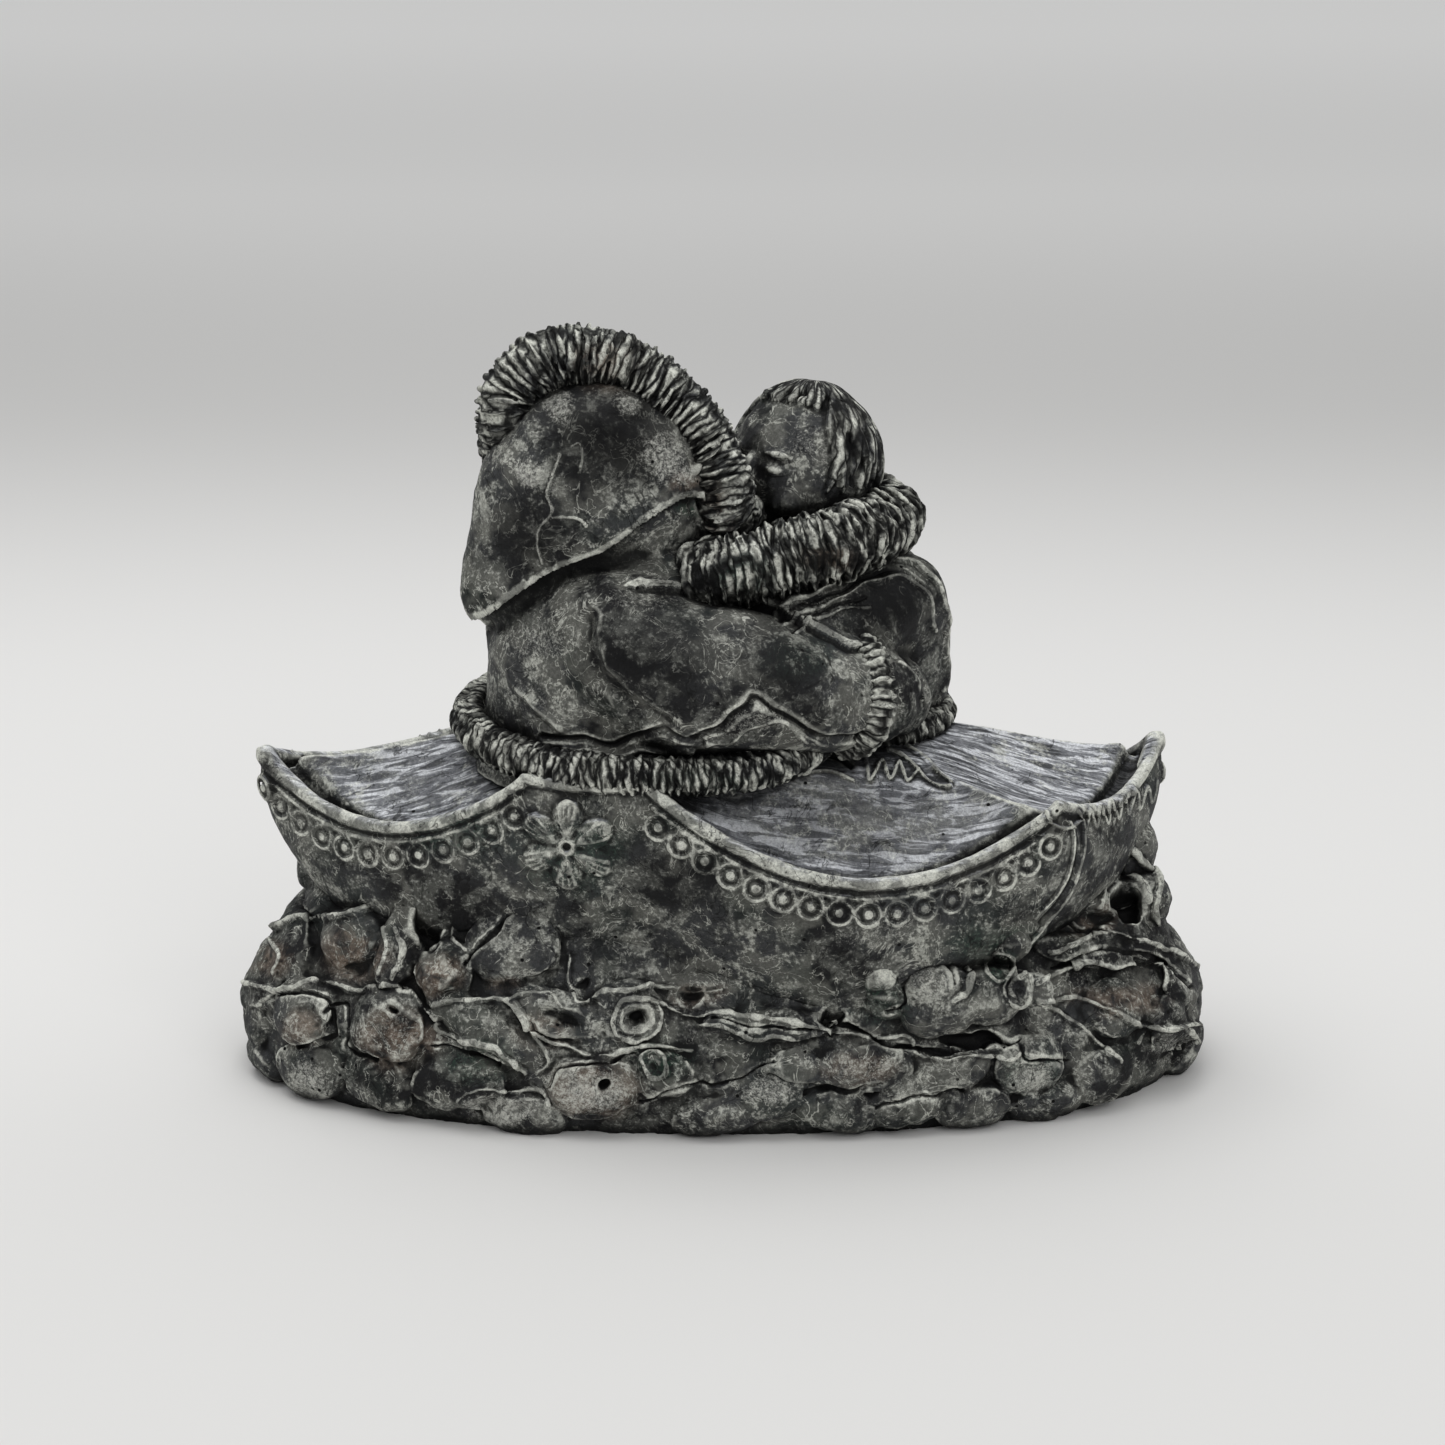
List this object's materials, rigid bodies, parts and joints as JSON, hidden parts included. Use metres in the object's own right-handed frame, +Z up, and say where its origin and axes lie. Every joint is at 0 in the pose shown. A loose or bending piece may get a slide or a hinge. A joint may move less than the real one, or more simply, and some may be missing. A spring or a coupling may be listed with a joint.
{
  "type": "soapstone sculpture",
  "caption": "Cast soapstone sculpture of embracing figures in fur-trimmed parkas, on a flared seat with a studded border over a bed of sea stones; stands on its flat underside.",
  "frame": {"origin": "middle of the bounding box, on the plane of the flat underside", "axes": "+X along the length, to the right as seen from the front; +Y to the back; +Z up"},
  "size_m": [0.2061, 0.0921, 0.1605],
  "materials": {
    "soapstone": "satin, dusty in the hollows"
  },
  "bodies": {
    "root": {"sculpture": "soapstone"}
  },
  "joints": []
}
